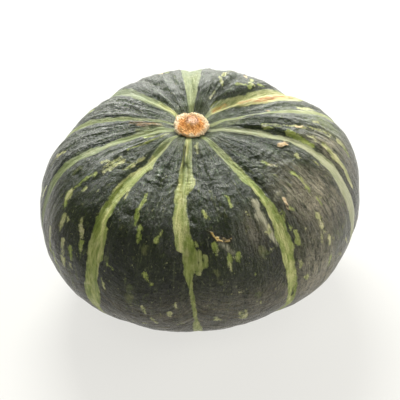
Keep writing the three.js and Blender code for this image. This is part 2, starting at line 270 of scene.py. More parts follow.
CREAM_MARKS = (
    (9.53, 101.5, 9.54, 106.5, 1.6), (9.76, 105, 9.76, 108, 1.6), (9.84, 98, 9.83, 101, 1.3),
    (9.69, 106, 9.7, 106.5, 0.9), (9.58, 110, 9.62, 115, 1.5), (9.47, 117, 9.53, 116.5, 1.2),
    (9.36, 117.5, 9.39, 117, 0.9), (9.82, 115, 9.87, 114, 1.2), (0.19, 112.5, 0.28, 114, 2.2),
    (0.19, 110.5, 0.21, 113, 1.5), (0.45, 114, 0.44, 108.5, 1.7), (0.48, 114, 0.48, 109.5, 1.3),
    (0.51, 115, 0.5, 107.5, 1.7), (0.44, 112.5, 0.52, 115, 1.3), (0.29, 67, 0.28, 68.5, 2.1),
    (0.39, 74.5, 0.41, 79.5, 1.5), (0.45, 71.5, 0.46, 72, 1.1), (9.8, 72.5, 9.8, 73, 0.9),
    (0.34, 92.5, 0.35, 92.5, 1), (0.44, 92.5, 0.49, 91.5, 1.2), (9.14, 90, 9.15, 92.5, 0.7),
    (9.16, 93, 9.17, 96.5, 1.1), (1.37, 66, 1.36, 71, 2.7), (1.36, 71, 1.36, 74.5, 2.1),
    (1.34, 74.5, 1.31, 79, 1.2), (1.4, 78, 1.39, 82.5, 1.3), (1.44, 80, 1.45, 82.5, 0.7),
    (1.07, 84, 1.08, 87, 1.2), (1.06, 88, 1.07, 88.5, 0.9), (1.12, 95, 1.13, 97.5, 2.1),
    (0.89, 105, 0.9, 106, 1.1), (1.21, 69, 1.21, 69.5, 1), (1.22, 93.5, 1.21, 94, 0.7),
    (0.82, 71.5, 0.84, 72, 1), (0.64, 102.5, 0.65, 104.5, 0.7), (0.73, 52, 0.72, 50, 0.9),
    (1.62, 79, 1.6, 81, 1.1), (1.56, 94.5, 1.64, 100.5, 1.1), (1.66, 89, 1.73, 95, 1),
    (2.01, 87.5, 1.89, 88, 1), (0.88, 60.5, 0.88, 63, 1.3), (0.83, 63, 0.85, 64, 1.2),
    (1.75, 40.5, 1.73, 42, 1.2), (1.38, 35, 1.42, 38, 0.9), (1.82, 48.5, 1.81, 50.5, 1.3),
    (1.31, 40, 1.32, 41, 0.7), (1.49, 48.5, 1.48, 52.5, 1.8), (1.49, 58.5, 1.53, 61, 1),
    (0.44, 11, 0.38, 15.5, 0.9), (2.39, 56.5, 2.4, 61.5, 2.4), (2.17, 42, 2.22, 45.5, 1.1),
    (2.15, 45.5, 2.14, 46.5, 1.5), (2.37, 51, 2.39, 52, 1.1), (2.39, 42.5, 2.42, 47, 0.7),
    (2.42, 47, 2.42, 50.5, 0.7), (1.64, 44, 1.63, 44.5, 0.7), (1.38, 66, 1.37, 67.5, 1),
    (9.15, 41, 9.17, 46.5, 0.7), (8.9, 24.5, 8.88, 29.5, 1.5), (8.88, 29.5, 8.85, 34, 1.9),
    (7.56, 62, 7.64, 55, 1.6), (8.6, 53, 8.61, 50.5, 0.6), (8.62, 67.5, 8.64, 68.5, 1.1),
    (8.55, 12.5, 8.47, 9, 1), (0.06, 12.5, 0.11, 13.5, 0.6), (0.34, 12, 0.38, 15.5, 0.9),
    (8.565, 68, 8.58, 75.5, 2.6), (8.66, 79, 8.66, 90, 2.4), (8.65, 90, 8.65, 94.5, 3.2),
    (8.4, 81, 8.4, 85.5, 4), (8.81, 65, 8.84, 69, 2), (8.85, 69, 8.87, 72.5, 1.6),
    (8.46, 57.5, 8.49, 61, 3), (0.37, 12, 0.37, 16, 1),
    (8.47, 39, 8.52, 36, 1.7), (8.58, 38.5, 8.59, 30.5, 1), (8.62, 40.5, 8.64, 36, 1.5),
    (8.64, 36, 8.69, 31.5, 1.4), (8.66, 31, 8.67, 38, 1.2),
    (2.81, 20.5, 3.1, 30, 0.9), (3.1, 30, 3.09, 42, 1.2), (3.25, 43.5, 3.28, 50.5, 3.6),
    (3.15, 49, 3.05, 56.5, 1.3), (3.05, 56.5, 2.87, 61, 1.4), (2.34, 39, 2.39, 45, 0.8),
    (2.39, 45, 2.4, 50.5, 0.7), (2.16, 46, 2.15, 47, 1.6), (2.64, 44.5, 2.66, 48, 1.2),
    (2.53, 48, 2.51, 49.5, 1), (4.17, 37.5, 4.12, 37.5, 2.4), (4.35, 15, 4.35, 18.5, 0.8),
    (4.47, 27.5, 4.34, 23.5, 1.4), (4.47, 30.5, 4.5, 45, 1.4), (2.16, 50, 2.11, 57, 3),
    (2.13, 24.5, 2.3, 34, 1), (2.3, 34, 2.41, 44, 1), (2.41, 44, 2.42, 50, 0.8), (2.42, 52, 2.42, 52.5, 1.2),
    (2.11, 56.5, 2.11, 64.5, 4.4), (2.11, 64.5, 2.07, 74, 3.4),
)
DIM_MARKS = (
    (9.58, 66.5, 9.59, 69.5, 2.9), (9.3, 59, 9.3, 61, 0.9), (9.18, 78, 9.22, 80.5, 2.4),
    (9.44, 89.5, 9.4, 97, 3.1), (9.43, 95.5, 9.41, 100.5, 3.8), (9.59, 92.5, 9.58, 98, 1.6),
    (0.25, 77.5, 0.26, 80, 2.2), (0.28, 84, 0.28, 86, 1.5), (9.79, 89, 9.8, 92, 1),
    (9.83, 82.5, 9.85, 83, 0.9), (9.33, 70, 9.35, 71, 1.2), (9.47, 72.5, 9.48, 73, 1.1),
    (9.4, 86, 9.41, 88, 1.3), (1.29, 90.5, 1.29, 91, 0.9), (0.71, 71.5, 0.82, 73.5, 1.6),
    (0.62, 96, 0.62, 98.5, 3.7), (0.45, 92, 0.49, 92, 1.2), (0.67, 57.5, 0.71, 59.5, 0.9),
    (0.88, 71.5, 0.91, 77.5, 0.9), (1.17, 40, 1.19, 41, 0.6), (1.73, 71, 1.73, 74, 1),
    (0.47, 48, 0.47, 51, 0.9), (0.39, 36.5, 0.4, 46, 0.6), (0.4, 46, 0.4, 50.5, 0.6),
    (8.76, 31, 8.84, 28.5, 0.9), (7.58, 60, 7.6, 68, 1.8), (8.39, 86, 8.38, 92, 3),
    (8.27, 47.5, 8.26, 52, 1.6), (0.73, 70.5, 0.73, 74.5, 3), (1.4, 90, 1.4, 99, 1.8),
    (7.62, 12, 7.78, 20, 5), (2.52, 13, 2.8, 17, 5),
)
# Corky spots, tan streaks that run down from the stem, the thin torn scar on the front lobe, and
# worn places. Except for the worn places, most of these too were placed like the marks above.
CORK_MARKS = (
    (1.77, 33, 1.84, 35.5, 2.2), (1.87, 34, 1.9, 35.5, 1.3), (1.17, 51.5, 1.15, 57, 1.8),
    (2.3, 36.5, 2.36, 39, 1.3), (1.01, 48.5, 1.02, 49.5, 0.9), (5.42, 44, 5.38, 47, 2),
    (4.34, 42.5, 4.3, 40.5, 1.8), (3.31, 27.5, 3.22, 28.5, 0.9),
)
TAN_MARKS = (
    (4.03, 12, 4.03, 18, 0.8), (4.03, 18, 3.87, 23, 1), (3.87, 23, 3.8, 27.5, 1.6),
    (3.76, 31.5, 3.8, 27.5, 2.6), (3.76, 31.5, 3.73, 37.5, 2.6), (3.73, 37.5, 3.73, 47, 1.8),
    (7.5, 20, 7.45, 12, 2.2), (7.35, 14, 7.3, 24, 1.2),
)
SCAR_MARKS = (
    (0.29, 59, 0.32, 61, 1), (0.32, 61, 0.38, 62.4, 1.3), (0.43, 62.4, 0.37, 62.4, 1.2),
    (0.46, 61.4, 0.43, 62.4, 0.9), (0.26, 56.5, 0.28, 58, 0.8), (0.3, 57, 0.28, 58.8, 0.6),
    (0.32, 59.7, 0.4, 60.9, 0.6),
)
WORN_MARKS = (
    (0.86, 47.5, 0.84, 54, 3), (0.84, 54, 0.845, 61, 4.2), (0.85, 61, 0.87, 66, 3.4),
    (0.87, 66, 0.9, 71, 1.6), (0.36, 63, 0.44, 69, 2.6), (1.09, 49.5, 1.18, 47.5, 1),
)
# Within the bands, where they are paler, where greener, and where a dark slit opens in them. Most of
# these places too were worked out beforehand from what was read off the photo.
PALER_IN_BAND = (
    (9.98, 8, 9.97, 15, 3), (3.97, 12, 3.88, 24, 4), (3.82, 24, 3.74, 42, 7), (5.98, 10, 6.02, 22, 3),
    (9.03, 52, 9.04, 62, 2.4), (0.99, 62, 0.99, 76, 3), (1, 84, 1, 100, 2.4),
    (9.86, 16, 9.96, 29, 1.5), (9.93, 29.5, 9.93, 50.5, 3.1), (9.94, 50.5, 9.94, 66, 3.1),
    (9.99, 67.5, 9.99, 74.5, 1), (8.97, 29, 8.93, 40, 2.4), (8.98, 21, 8.98, 29.5, 2.4),
    (8.92, 39.5, 8.92, 51, 2.2), (9.06, 63, 9.13, 76, 1.5), (9.1, 100, 9.14, 115, 1.5),
    (9.09, 77, 9.12, 93.5, 1.2), (1.08, 22, 1.05, 25.5, 1.5), (0.96, 40.5, 0.96, 48.5, 1.3),
    (0.94, 55, 0.95, 68, 1.6), (0.94, 77, 0.94, 88, 1.8), (0.94, 90.5, 1, 111, 2.1),
    (8.1, 31, 7.98, 44.5, 1.3),
)
GREENER_IN_BAND = (
    (0.05, 61.5, 0.06, 72, 4.3), (0.01, 70.5, 9.98, 83.5, 2.4), (0.03, 9, 0.05, 16, 1.6),
    (8.94, 15.5, 8.98, 21, 1.6), (8.98, 35, 8.96, 47, 2.1), (8.95, 48.5, 8.98, 60, 3.7),
    (8.96, 61, 9, 69.5, 3.7), (9.06, 84, 9.06, 101.5, 3.1), (1.03, 28, 0.98, 36.5, 2.1),
    (1.06, 21.5, 1.03, 28, 2.1), (1.02, 9.5, 1.04, 16.5, 1.8), (1.03, 37.5, 1.03, 48, 2.4),
    (1.05, 58, 1.05, 65.5, 3.1), (1.01, 73.5, 1.01, 102, 2.2), (7.98, 44.5, 7.95, 70, 1.9),
    (7.76, 15.5, 8.1, 31, 1.8), (8.02, 9, 8.02, 30, 3),
)
SLITS = (
    (9.92, 12, 9.97, 19, 0.8), (9.99, 18.5, 0.04, 29, 0.8), (1.01, 107.5, 1.01, 100.5, 1.4),
    (0.09, 52, 0.06, 44, 0.5), (8.99, 52, 8.99, 41, 0.5),
)
# Spurs that run out of the bands into the dark rind. They were placed in the same way, and most were
# then moved a little.
BAND_SPURS = (
    (0.08, 78.5, 0.1, 79.5, 1.2), (0.18, 69.5, 0.165, 74.5, 2), (0.12, 67.5, 0.13, 75.5, 2.4),
    (0.12, 75, 0.1, 79.5, 1.4), (0.12, 73.5, 0.17, 75, 1.3), (0.1, 62, 0.115, 64, 1.5),
    (1.105, 67.5, 1.1, 69.5, 1.6), (1.11, 70, 1.105, 74.5, 1.6), (1.09, 72, 1.07, 75.5, 1.6),
)
# Where the photo doesn't reach, the same kinds of marks stand at random. The photo shows each lobe
# as far down as HORIZON says, in degrees, and the random marks start below that.
chance = np.random.RandomState(7)
HORIZON = np.array([125, 118, 80, 62, 45, 42, 50, 62, 80, 118])
RANDOM_FROM, RANDOM_TO = 40, 165


def random_marks(count, longest, widest):
    marks = []
    while len(marks) < count:
        place = chance.uniform(0, LOBES)
        down = chance.uniform(RANDOM_FROM, RANDOM_TO)
        if down > HORIZON[int(place)]:
            end = down + chance.uniform(0.25, 1) * longest
            sway = chance.normal(0, 0.015)
            marks.append((place, down, place + sway, end, chance.uniform(0.4, 1) * widest))
    return tuple(marks)


def mark_margin(marks):
    """How far inside the nearest mark each point lies, in millimetres."""
    best = np.full(PLACE.shape, -99.0)
    for place, down, end_place, end_down, width in marks:
        places = np.array([place, end_place])
        (start, end), _ = skin(places, np.radians([down, end_down]))
        window = 14 + np.linalg.norm(end - start)
        near = np.linalg.norm(smooth_points - 0.5 * (start + end), axis=-1) < window
        offset = smooth_points[near] - start
        along = end - start
        share = np.clip(offset @ along / (along @ along), 0, 1)
        gap = np.linalg.norm(offset - share[:, None] * along, axis=-1)
        margin = width * (0.62 - 0.26 * share) - gap
        best[near] = np.maximum(best[near], margin)
    return best


lime_margin = mark_margin(LIME_MARKS + random_marks(70, 9, 2.6))
cream_margin = mark_margin(CREAM_MARKS + random_marks(45, 8, 3.2))
dim_margin = mark_margin(DIM_MARKS + random_marks(40, 9, 3.4))
cork_margin = mark_margin(CORK_MARKS)
tan_margin = mark_margin(TAN_MARKS)
scar_margin = mark_margin(SCAR_MARKS)
worn_margin = mark_margin(WORN_MARKS)
paler_margin = mark_margin(PALER_IN_BAND)
greener_margin = mark_margin(GREENER_IN_BAND)
slit_margin = mark_margin(SLITS)
band_margin = np.maximum(band_margin, mark_margin(BAND_SPURS))

# Where the rind is scuffed to a brownish grey, partly a painted glint, and where it ripens to olive: the
# middle of each patch as place and degrees down, its reach across and down, and its strength.
SCUFFS_AND_GLINTS = (
    (1.4, 53, 0.24, 12, 1.1), (1.6, 64, 0.26, 14, 0.8), (1.25, 86, 0.2, 14, 0.7),
    (1.3, 104, 0.45, 16, 0.75), (2.2, 50, 0.15, 9, 0.8), (0.72, 60, 0.12, 9, 0.6),
    (0.4, 104, 0.6, 16, 0.3), (8.35, 84, 0.25, 14, 0.35), (9.6, 108, 0.5, 14, 0.15),
    (2.3, 62, 0.3, 16, 0.5),
)
RIPE_PATCHES = ((2.8, 52, 0.32, 10, 1), (2.55, 14, 0.3, 5, 0.6), (3.1, 40, 0.3, 12, 0.5))


def patches(spots):
    total = np.zeros(PLACE.shape)
    for place, down, across, along, strength in spots:
        beside = (PLACE - place + LOBES / 2) % LOBES - LOBES / 2
        total += strength * bell(beside, across) * bell(DOWN - down, along)
    return np.clip(total, 0, 1)


scuff_and_glint = patches(SCUFFS_AND_GLINTS)
ripe = patches(RIPE_PATCHES)

# Wrinkles: long ones run out from the stem, and crêpe-like folds hang across some of the lobes.
# travel is how far down the skin a point lies from the stem's axis.
FIRST_ROW_OUT = 4
flat_radius = np.hypot(smooth_points[..., 0] - STEM_AXIS[0], smooth_points[..., 1] - STEM_AXIS[1])
step_down = np.linalg.norm(np.diff(smooth_points, axis=0), axis=-1)
travel = np.concatenate([np.zeros((1, COLUMNS)), np.cumsum(step_down, axis=0)]).mean(axis=1)
travel = np.repeat(travel[:, None], COLUMNS, axis=1) + FIRST_ROW_OUT
azimuth_angle = np.arctan2(smooth_points[..., 0] - STEM_AXIS[0], STEM_AXIS[1] - smooth_points[..., 1])
round_x = np.sin(azimuth_angle)
round_y = np.cos(azimuth_angle)
FOLDED = (
    (9.5, 27, 0.42, 13, 1), (0.5, 26, 0.42, 13, 1), (1.3, 33, 0.25, 12, 0.8), (8.75, 33, 0.22, 10, 0.6),
    (4.5, 30, 0.3, 12, 0.6), (6.5, 34, 0.3, 12, 0.7),
)
HANG = 9
folded = patches(FOLDED) + smooth_step(74, 88, DOWN)
folded = np.clip(folded, 0, 1)


def noise_field(x, y, z, octaves=2):
    flat = zip(x.ravel().tolist(), y.ravel().tolist(), z.ravel().tolist())
    values = [noise.fractal(point, 0.9, 2.1, octaves) for point in flat]
    return np.array(values).reshape(x.shape)


wander = noise_field(smooth_points[..., 0] / 11, smooth_points[..., 1] / 11, travel / 14)
hanging = travel + HANG * (2 * (PLACE % 1) - 1) ** 2 + 2.5 * wander
folds = noise_field(smooth_points[..., 0] / 7, smooth_points[..., 1] / 7, hanging / 2.5)
long_ridges = noise_field(round_x * 16, round_y * 16, travel / 22 + wander, 3)
swell = noise_field(smooth_points[..., 0] / 16, smooth_points[..., 1] / 16, smooth_points[..., 2] / 16)

off_band = smooth_step(1, -1.5, band_margin)
shoulder = smooth_step(8, 14, DOWN) * smooth_step(52, 34, DOWN)
fade_in = smooth_step(11, 24, flat_radius)
FOLD_HEIGHT, WRINKLE_HEIGHT, SWELL_HEIGHT, CORK_HEIGHT = 1.2, 0.65, 0.5, 0.25
BAND_EDGE_DEPTH, SLIT_DEPTH = 0.35, 0.5
relief = FOLD_HEIGHT * folds * folded * shoulder * (0.25 + 0.75 * off_band)
upper = 0.3 + 0.7 * smooth_step(75, 45, DOWN)
wrinkled = upper * (0.35 + 0.65 * off_band) * smooth_step(6, 30, flat_radius)
relief += WRINKLE_HEIGHT * long_ridges * wrinkled
relief += SWELL_HEIGHT * swell
relief -= BAND_EDGE_DEPTH * bell(band_margin + 0.6, 0.9) * shoulder
relief += CORK_HEIGHT * smooth_step(-0.8, 0.6, np.maximum(cork_margin, scar_margin))
relief -= SLIT_DEPTH * bell(slit_margin, 0.6)
relief *= fade_in * (1 - smooth_step(2.45, 2.7, POLAR))
INWARD = 0.4
points = smooth_points + grid_normals(smooth_points) * (relief - INWARD * fade_in)[..., None]
points[..., 2] = np.maximum(points[..., 2], 0)


def closed_mesh(name, rings, top, foot):
    """A smooth closed skin over a grid of rings, with one point at each end, turned to face out."""
    rows, columns = rings.shape[:2]
    grid = np.arange(rows * columns).reshape(rows, columns)
    a, b = grid[:-1], grid[1:]
    quads = np.stack([a, b, np.roll(b, -1, 1), np.roll(a, -1, 1)], -1).reshape(-1, 4)
    top_index, foot_index = rows * columns, rows * columns + 1
    faces = quads.tolist()
    for column in range(columns):
        after = (column + 1) % columns
        faces.append((top_index, int(grid[0, column]), int(grid[0, after])))
        faces.append((foot_index, int(grid[-1, after]), int(grid[-1, column])))
    vertices = np.concatenate([rings.reshape(-1, 3), [top, foot]]) * MM
    mesh = bpy.data.meshes.new(name)
    mesh.from_pydata(vertices.tolist(), [], faces)
    mesh.shade_smooth()
    mesh.update()
    piece = bpy.data.objects.new(name, mesh)
    bpy.context.scene.collection.objects.link(piece)
    return piece


def paint(piece, name, field, ends):
    """Stores one number for each point of a closed_mesh, to be read by its material."""
    values = np.concatenate([field.reshape(-1), ends]).astype(np.float32)
    attribute = piece.data.attributes.new(name, "FLOAT", "POINT")
    attribute.data.foreach_set("value", values)


top_point = skin(np.array([0.0]), np.array([0.0]))[0][0]
foot_point = skin(np.array([0.0]), np.array([math.pi]))[0][0]
fruit = closed_mesh("squash_rind", points, top_point, foot_point)
# The material reads these margins, in millimetres, and needs them only near each mark's edge.
MARGIN_LIMIT = 8
paint(fruit, "band", band_margin.clip(-MARGIN_LIMIT, MARGIN_LIMIT), (-2, 0))
paint(fruit, "band_cream", band_cream, (0.5, 0.5))
paint(fruit, "band_shade", band_shade, (0, 0))
margins = {
    "lime_mark": lime_margin, "cream_mark": cream_margin, "dim_mark": dim_margin,
    "cork_mark": cork_margin, "tan_mark": tan_margin, "scar_mark": scar_margin,
    "worn_mark": worn_margin, "paler": paler_margin, "greener": greener_margin,
    "slit": slit_margin,
}
for name, margin in margins.items():
    paint(fruit, name, margin.clip(-MARGIN_LIMIT, MARGIN_LIMIT), (-MARGIN_LIMIT, -MARGIN_LIMIT))
paint(fruit, "scuff_and_glint", scuff_and_glint, (0, 0))
paint(fruit, "ripe", ripe, (0, 0))
paint(fruit, "down", DOWN, (0, 180))
paint(fruit, "folded", folded, (0, 0))
directions = (
    ("grain", (round_x * 60, round_y * 60, travel)),
    ("fold", (smooth_points[..., 0], smooth_points[..., 1], hanging)),
)
for name, parts in directions:
    grain = np.stack(parts, -1).reshape(-1, 3)
    grain = np.concatenate([grain, grain[:1], grain[-1:]]).astype(np.float32)
    attribute = fruit.data.attributes.new(name, "FLOAT_VECTOR", "POINT")
    attribute.data.foreach_set("vector", grain.ravel())


# The rind: waxy and nearly black-green, with pale bands and flecks whose edges are ragged, worn
# and corky in places, and a fine network of wrinkles that catches the light.
class Wire:
    """A socket of a material, which adds the nodes for whatever is worked out from it."""

    def __init__(self, tree, socket=None):
        self.tree, self.socket = tree, socket

    def node(self, kind, settings=None, sockets=None, out=0):
        made = self.tree.nodes.new(kind)
        for name, value in (settings or {}).items():
            setattr(made, name, value)
        for name, value in (sockets or {}).items():
            if isinstance(value, Wire):
                self.tree.links.new(value.socket, made.inputs[name])
            else:
                made.inputs[name].default_value = value
        return Wire(self.tree, made.outputs[out] if made.outputs else None)

    def maths(self, operation, *values):
        return self.node("ShaderNodeMath", {"operation": operation}, dict(enumerate(values)))

    def __add__(self, other):
        return self.maths("ADD", self, other)

    def __sub__(self, other):
        return self.maths("SUBTRACT", self, other)

    def __rsub__(self, other):
        return self.maths("SUBTRACT", other, self)

    def __mul__(self, other):
        return self.maths("MULTIPLY", self, other)

    __radd__, __rmul__ = __add__, __mul__

    def between(self, low, high):
        """0 below low, 1 above high, and smooth between."""
        settings = {"interpolation_type": "SMOOTHSTEP"}
        sockets = {"Value": self, "From Min": low, "From Max": high}
        return self.node("ShaderNodeMapRange", settings, sockets)

    def mix(self, first, second):
        """first where this is 0, second where it is 1."""
        settings = {"data_type": "RGBA", "clamp_factor": True}
        return self.node("ShaderNodeMix", settings, {0: self, 6: first, 7: second}, 2)


def srgb(red, green, blue):
    """A colour as read off a screen, 0 to 255, in the units that a shader takes."""
    values = [value / 255 for value in (red, green, blue)]
    return (*[v / 12.92 if v < 0.04045 else ((v + 0.055) / 1.055) ** 2.4 for v in values], 1)


def material(name):
    made = bpy.data.materials.new(name)
    made.use_nodes = True
    made.node_tree.nodes.clear()
    return made, Wire(made.node_tree)


def finish(wire, **sockets):
    """Ends a material in one shader with these sockets."""
    named = {}
    for name, value in sockets.items():
        named[name.replace("_", " ").title().replace("Ior", "IOR")] = value
    shader = wire.node("ShaderNodeBsdfPrincipled", {}, named)
    wire.node("ShaderNodeOutputMaterial", {}, {"Surface": shader})


rind, wire = material("waxy_rind")


def field(name):
    return wire.node("ShaderNodeAttribute", {"attribute_name": name}, out="Fac")


def streaked(scale, stretch, detail=4.0, roughness=0.6):
    """Noise drawn out along the meridians: scale is in features for each millimetre round the fruit."""
    sizes = (scale, scale, scale / stretch)
    vector = wire.node("ShaderNodeVectorMath", {"operation": "MULTIPLY"}, {0: grain_wire, 1: sizes})
    sockets = {"Vector": vector, "Scale": 1.0, "Detail": detail, "Roughness": roughness}
    return wire.node("ShaderNodeTexNoise", {}, sockets, "Fac")


def even(scale, detail=3.0, roughness=0.5):
    """Noise with no direction: scale is in features for each metre."""
    sockets = {"Vector": spot, "Scale": scale, "Detail": detail, "Roughness": roughness}
    return wire.node("ShaderNodeTexNoise", {}, sockets, "Fac")


def crosswise(scale, stretch, detail=4.0, roughness=0.6):
    """Noise drawn out across the meridians: scale is in features for each millimetre down them."""
    sizes = (scale / stretch, scale / stretch, scale)
    vector = wire.node("ShaderNodeVectorMath", {"operation": "MULTIPLY"}, {0: fold_wire, 1: sizes})
    sockets = {"Vector": vector, "Scale": 1.0, "Detail": detail, "Roughness": roughness}
    return wire.node("ShaderNodeTexNoise", {}, sockets, "Fac")


fold_wire = wire.node("ShaderNodeAttribute", {"attribute_name": "fold"}, out="Vector")
grain_wire = wire.node("ShaderNodeAttribute", {"attribute_name": "grain"}, out="Vector")
spot = wire.node("ShaderNodeTexCoord", out="Object")
tatter = streaked(0.8, 2.5, 5, 0.75) - 0.5
tear = streaked(0.25, 2.2, 2) - 0.5
fray = (tatter * 4.2 + tear * 3) * (field("down").between(0, 45) * 0.8 + 0.2)
ragged = fray + (streaked(1.7, 1.6, 4, 0.8) - 0.5) * 3.6

band = (field("band") + fray * 0.7).between(-0.35, 0.35)
lime = (field("lime_mark") + ragged).between(-0.45, 0.55)
cream = (field("cream_mark") + ragged).between(-0.4, 0.45)
dim = (field("dim_mark") + fray * 1.3).between(-0.6, 0.9)
cork = (field("cork_mark") + fray * 0.6).between(-0.2, 0.3)
scar = (field("scar_mark") + tatter * 1.2).between(-0.1, 0.3)
pit = (field("scar_mark") + tatter * 2).between(-1.6, -0.3)
worn = (field("worn_mark") + fray).between(-1, 1)
paler = (field("paler") + fray * 0.6).between(-0.8, 0.8)
greener = (field("greener") + fray * 0.6).between(-0.9, 0.9)
slit = (field("slit") + tatter * 0.8).between(-0.2, 0.2)

stria = streaked(0.6, 14, 5, 0.7)
speck = even(760, 6, 0.8)

# Fine wrinkles stand in the bump, a little deeper low on the fruit. They run down the lobes, or
# across them where the rind hangs in folds.
crease = streaked(0.48, 3.5, 3.5, 0.6)
cross = crosswise(0.42, 2.4, 3.5, 0.58)
across_share = field("folded")
deeper_low = field("down").between(70, 100) * 0.4 + 1
pore = even(1100, 3, 0.6)
height = crease * (1.3 - across_share * 0.8) + cross * (across_share * 1.5 + 0.2)
height = height * deeper_low + stria * 0.15 + even(450, 3) * 0.35 + pore * 0.05
height = height + speck * 0.4
crevice_shade = height.between(1.12, 0.82)
height = height + (cork + scar) * 0.5 - slit * 0.5
bump = wire.node(
    "ShaderNodeBump", {}, {"Strength": 0.8, "Distance": 0.0014, "Height": height}, "Normal"
)

# Ground colour: green-black, greener on the crown, browner low down, a pale brownish grey on the scuffed
# side, and with faint pale striations. Painted light is part of it: a tint of sheen in the crown's green, a
# glint in the scuffed grey, and a pale grey-green sheen round the stem.
cloud = even(40, 5, 0.6)
crown_share = field("down").between(75, 25)
ground = cloud.between(0.36, 0.64).mix(srgb(12, 18, 6), srgb(30, 38, 16))
# Partly painted light: on the crown the ground is greener, partly its own colour and partly a painted tint
# of the sheen there.
ground = (crown_share * 0.6).mix(ground, srgb(24, 42, 20))
crown_streaks = streaked(0.3, 3, 5, 0.7).between(0.5, 0.68)
ground = (crown_streaks * crown_share * 0.55).mix(ground, srgb(66, 86, 52))
low_share = field("down").between(88, 112)
low_lines = crosswise(0.45, 6, 4, 0.6)
ground = (low_share * low_lines.between(0.36, 0.5) * 0.65).mix(ground, srgb(62, 55, 36))
ground = (low_share * low_lines.between(0.52, 0.66) * 0.65).mix(ground, srgb(102, 94, 68))
rubbed = streaked(0.7, 7, 6, 0.75).between(0.34, 0.6) * 0.8
scuffed_and_glinting = field("scuff_and_glint") * (rubbed + even(140, 5, 0.7).between(0.5, 0.62) * 0.3)
# Partly painted light: the scuffed patches turn a pale brownish grey, partly scuffing and partly a painted
# glint.
ground = (scuffed_and_glinting * 0.8).mix(ground, srgb(170, 161, 140))
ripened = field("ripe") * even(60, 5, 0.7).between(0.36, 0.58)
ground = (ripened * 0.85).mix(ground, srgb(96, 108, 54))
ground = (stria.between(0.52, 0.7) * 0.35).mix(ground, srgb(92, 98, 68))
# Painted sheen: round the stem the ground is painted a pale grey-green.
ground_sheen_tone = stria.between(0.4, 0.6).mix(srgb(60, 72, 48), srgb(116, 124, 98))
ground = (field("down").between(19, 8) * 0.55).mix(ground, ground_sheen_tone)

# Pale dots and dashes scattered over the rind.
fleck = streaked(0.5, 4.5, 4, 0.65).between(0.58, 0.7)
ground = (fleck * 0.4).mix(ground, srgb(92, 104, 52))
ground = (speck.between(0.5, 0.4) * 0.7).mix(ground, srgb(10, 14, 7))
ground = (speck.between(0.54, 0.68) * 0.5).mix(ground, srgb(108, 112, 82))
dash = streaked(1.1, 2.6, 2, 0.5).between(0.68, 0.74)
ground = (dash * 0.6).mix(ground, srgb(146, 150, 104))

# Bands: lime green to cream, with greener and paler streaks inside and a darker rim, and with the tan
# streaks.
# Painted light greys them by the stem, as sheen, and darkens them to a grey green at the back, as shade.
inner = streaked(0.95, 10, 6, 0.75)
mottle = even(160, 5, 0.7)
lime_tone = inner.between(0.4, 0.62).mix(srgb(116, 134, 52), srgb(168, 176, 98))
lime_tone = (mottle.between(0.5, 0.66) * 0.55).mix(lime_tone, srgb(188, 188, 128))
cream_tone = inner.between(0.42, 0.6).mix(srgb(126, 134, 74), srgb(184, 182, 134))
cream_tone = (mottle.between(0.5, 0.68) * 0.6).mix(cream_tone, srgb(206, 198, 162))
by_stem = field("down").between(40, 12)
pale = field("band_cream").mix(lime_tone, cream_tone)
deep_in_band = (field("band") + fray * 0.5).between(0, 2)
pale = ((1 - deep_in_band) * 0.28).mix(pale, srgb(86, 98, 44))
green_tone = inner.between(0.4, 0.62).mix(srgb(98, 116, 36), srgb(136, 150, 66))
pale = (greener * 0.7).mix(pale, green_tone)
light_tone = inner.between(0.36, 0.6).mix(srgb(156, 160, 92), srgb(202, 198, 142))
pale = (paler * 0.7).mix(pale, light_tone)
bleached = field("band_cream").between(0.92, 1)
bleached_tone = inner.between(0.4, 0.6).mix(srgb(168, 170, 142), srgb(206, 204, 184))
pale = (bleached * 0.45).mix(pale, bleached_tone)
band_sheen_tone = inner.between(0.4, 0.6).mix(srgb(96, 108, 70), srgb(142, 150, 110))
# Painted sheen: near the stem the bands are greyed to a dull grey-green.
pale = (by_stem * (1 - paler) * 0.7).mix(pale, band_sheen_tone)
# Painted shade: away from the stem, the bands at the back are darkened to a grey green.
pale = (field("band_shade") * field("down").between(10, 42) * 0.85).mix(pale, srgb(84, 96, 68))
tanned = (field("tan_mark") + tatter * 5).between(-0.9, 0.9)
tan_line = streaked(1.3, 14, 3, 0.6)
tan_tone = tan_line.between(0.5, 0.66).mix(srgb(168, 104, 50), srgb(208, 164, 100))
pale = (tanned * tan_line.between(0.38, 0.5)).mix(pale, tan_tone)
pale = (slit * 0.85).mix(pale, srgb(36, 42, 22))

# Painted shade: the rind is darkened to near black in the low places of the fine wrinkles.
ground = (crevice_shade * 0.6).mix(ground, srgb(12, 17, 9))
dim_tone = mottle.between(0.4, 0.6).mix(srgb(70, 84, 34), srgb(120, 122, 74))
colour = (dim * 0.5).mix(ground, dim_tone)
worn_tone = stria.between(0.35, 0.6).mix(srgb(104, 104, 80), srgb(196, 192, 166))
colour = (worn * 0.8).mix(colour, worn_tone)
colour = (lime * 0.85).mix(colour, lime_tone)
colour = cream.mix(colour, cream_tone)
colour = (tanned * tan_line.between(0.4, 0.55) * 0.7).mix(colour, srgb(160, 126, 84))
colour = band.mix(colour, pale)
cork_tone = even(900, 4, 0.7).between(0.35, 0.6).mix(srgb(196, 160, 110), srgb(238, 216, 178))
colour = (cork * 0.85).mix(colour, cork_tone)
colour = ((pit - scar) * 0.6).mix(colour, srgb(34, 28, 18))
scar_tone = even(1300, 3, 0.7).between(0.4, 0.6).mix(srgb(168, 126, 44), srgb(232, 208, 140))
colour = scar.mix(colour, scar_tone)

